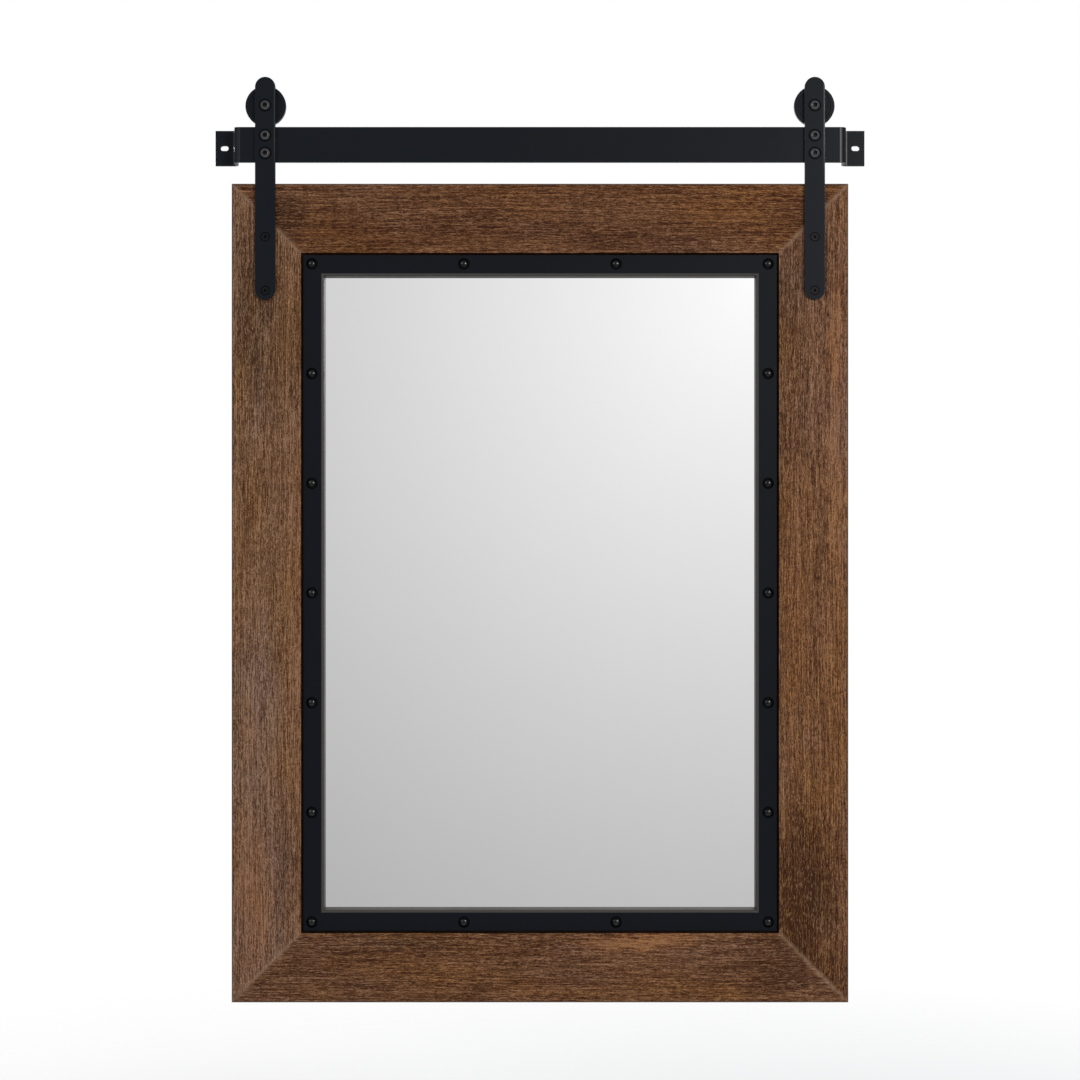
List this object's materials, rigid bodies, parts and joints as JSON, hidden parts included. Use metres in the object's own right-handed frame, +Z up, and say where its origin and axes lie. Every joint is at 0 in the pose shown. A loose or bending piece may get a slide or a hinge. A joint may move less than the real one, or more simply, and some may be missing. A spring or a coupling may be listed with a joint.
{
  "type": "barn door mirror",
  "caption": "Wall mirror in a mitred wooden frame with a nailed steel liner, hung by straps with rollers from a bent flat track bar; turn buttons hold its back.",
  "frame": {"origin": "on the wall plane, midway between the two wall slots of the track bar", "axes": "+X to the viewer's right, +Z up, +Y into the wall; the mirror faces -Y"},
  "size_m": [0.648, 0.0289, 0.915],
  "materials": {
    "stained_wood": "dark walnut stain under a thin matte varnish, open straight grain",
    "biscuit_beech": "pressed beech, glued in, not visible",
    "liner_steel": "satin black powder coat",
    "nail_black": "semi-gloss black enamel",
    "mirror_glass": "clear float glass silvered on the back",
    "backing_board": "bare medium-density fibreboard",
    "zinc_plate": "blue-white zinc plate, tumbled edges",
    "zinc_screw": "bright zinc plate",
    "hanger_steel": "satin black powder coat",
    "black_bolt": "black oxide, slightly oiled",
    "bush_brass": "plain turned, not visible"
  },
  "bodies": {
    "frame": {"stile_left": "stained_wood", "stile_right": "stained_wood", "rail_top": "stained_wood", "rail_bottom": "stained_wood", "mitre_biscuits": "biscuit_beech", "liner_left": "liner_steel", "liner_right": "liner_steel", "liner_top": "liner_steel", "liner_bottom": "liner_steel", "liner_nails": "nail_black", "mirror_glass": "mirror_glass", "backing_board": "backing_board", "corner_plate_top_left": "zinc_plate", "corner_plate_top_right": "zinc_plate", "corner_plate_bottom_left": "zinc_plate", "corner_plate_bottom_right": "zinc_plate", "corner_plate_screws": "zinc_screw", "turn_button_screws": "zinc_screw", "track_bar": "hanger_steel", "hanger_strap_left": "hanger_steel", "hanger_strap_right": "hanger_steel", "strap_bolts": "black_bolt", "strap_nuts": "black_bolt", "strap_screws": "black_bolt", "axle_bolts": "black_bolt", "axle_washers": "black_bolt", "axle_nuts": "black_bolt", "roller_bushes": "bush_brass"},
    "turn_button_top_1": {"turn_button_top_1": "zinc_plate"},
    "turn_button_top_2": {"turn_button_top_2": "zinc_plate"},
    "turn_button_top_3": {"turn_button_top_3": "zinc_plate"},
    "turn_button_top_4": {"turn_button_top_4": "zinc_plate"},
    "turn_button_bottom_1": {"turn_button_bottom_1": "zinc_plate"},
    "turn_button_bottom_2": {"turn_button_bottom_2": "zinc_plate"},
    "turn_button_bottom_3": {"turn_button_bottom_3": "zinc_plate"},
    "turn_button_bottom_4": {"turn_button_bottom_4": "zinc_plate"},
    "turn_button_left_1": {"turn_button_left_1": "zinc_plate"},
    "turn_button_left_2": {"turn_button_left_2": "zinc_plate"},
    "turn_button_left_3": {"turn_button_left_3": "zinc_plate"},
    "turn_button_left_4": {"turn_button_left_4": "zinc_plate"},
    "turn_button_left_5": {"turn_button_left_5": "zinc_plate"},
    "turn_button_right_1": {"turn_button_right_1": "zinc_plate"},
    "turn_button_right_2": {"turn_button_right_2": "zinc_plate"},
    "turn_button_right_3": {"turn_button_right_3": "zinc_plate"},
    "turn_button_right_4": {"turn_button_right_4": "zinc_plate"},
    "turn_button_right_5": {"turn_button_right_5": "zinc_plate"},
    "roller_left": {"roller_left": "hanger_steel"},
    "roller_right": {"roller_right": "hanger_steel"}
  },
  "joints": [
    {"name": "button_turn_top_1", "type": "hinge", "parent": "frame", "child": "turn_button_top_1", "pos_m": [-0.149, -0.00235, -0.1125], "axis": [0, 1, 0], "continuous": true},
    {"name": "button_turn_top_2", "type": "hinge", "parent": "frame", "child": "turn_button_top_2", "pos_m": [-0.062, -0.00235, -0.1125], "axis": [0, 1, 0], "continuous": true},
    {"name": "button_turn_top_3", "type": "hinge", "parent": "frame", "child": "turn_button_top_3", "pos_m": [0.035, -0.00235, -0.1125], "axis": [0, 1, 0], "continuous": true},
    {"name": "button_turn_top_4", "type": "hinge", "parent": "frame", "child": "turn_button_top_4", "pos_m": [0.132, -0.00235, -0.1125], "axis": [0, 1, 0], "continuous": true},
    {"name": "button_turn_bottom_1", "type": "hinge", "parent": "frame", "child": "turn_button_bottom_1", "pos_m": [-0.148, -0.00235, -0.7745], "axis": [0, 1, 0], "continuous": true},
    {"name": "button_turn_bottom_2", "type": "hinge", "parent": "frame", "child": "turn_button_bottom_2", "pos_m": [-0.06, -0.00235, -0.7745], "axis": [0, 1, 0], "continuous": true},
    {"name": "button_turn_bottom_3", "type": "hinge", "parent": "frame", "child": "turn_button_bottom_3", "pos_m": [0.034, -0.00235, -0.7745], "axis": [0, 1, 0], "continuous": true},
    {"name": "button_turn_bottom_4", "type": "hinge", "parent": "frame", "child": "turn_button_bottom_4", "pos_m": [0.134, -0.00235, -0.7745], "axis": [0, 1, 0], "continuous": true},
    {"name": "button_turn_left_1", "type": "hinge", "parent": "frame", "child": "turn_button_left_1", "pos_m": [-0.231, -0.00235, -0.2155], "axis": [0, 1, 0], "continuous": true},
    {"name": "button_turn_left_2", "type": "hinge", "parent": "frame", "child": "turn_button_left_2", "pos_m": [-0.231, -0.00235, -0.3315], "axis": [0, 1, 0], "continuous": true},
    {"name": "button_turn_left_3", "type": "hinge", "parent": "frame", "child": "turn_button_left_3", "pos_m": [-0.231, -0.00235, -0.4575], "axis": [0, 1, 0], "continuous": true},
    {"name": "button_turn_left_4", "type": "hinge", "parent": "frame", "child": "turn_button_left_4", "pos_m": [-0.231, -0.00235, -0.5685], "axis": [0, 1, 0], "continuous": true},
    {"name": "button_turn_left_5", "type": "hinge", "parent": "frame", "child": "turn_button_left_5", "pos_m": [-0.231, -0.00235, -0.6875], "axis": [0, 1, 0], "continuous": true},
    {"name": "button_turn_right_1", "type": "hinge", "parent": "frame", "child": "turn_button_right_1", "pos_m": [0.231, -0.00235, -0.2115], "axis": [0, 1, 0], "continuous": true},
    {"name": "button_turn_right_2", "type": "hinge", "parent": "frame", "child": "turn_button_right_2", "pos_m": [0.231, -0.00235, -0.3275], "axis": [0, 1, 0], "continuous": true},
    {"name": "button_turn_right_3", "type": "hinge", "parent": "frame", "child": "turn_button_right_3", "pos_m": [0.231, -0.00235, -0.4495], "axis": [0, 1, 0], "continuous": true},
    {"name": "button_turn_right_4", "type": "hinge", "parent": "frame", "child": "turn_button_right_4", "pos_m": [0.231, -0.00235, -0.5715], "axis": [0, 1, 0], "continuous": true},
    {"name": "button_turn_right_5", "type": "hinge", "parent": "frame", "child": "turn_button_right_5", "pos_m": [0.231, -0.00235, -0.6865], "axis": [0, 1, 0], "continuous": true},
    {"name": "roller_spin_left", "type": "hinge", "parent": "frame", "child": "roller_left", "pos_m": [-0.2715, -0.0198, 0.0385], "axis": [0, 1, 0], "continuous": true},
    {"name": "roller_spin_right", "type": "hinge", "parent": "frame", "child": "roller_right", "pos_m": [0.2715, -0.0198, 0.0385], "axis": [0, 1, 0], "continuous": true}
  ]
}
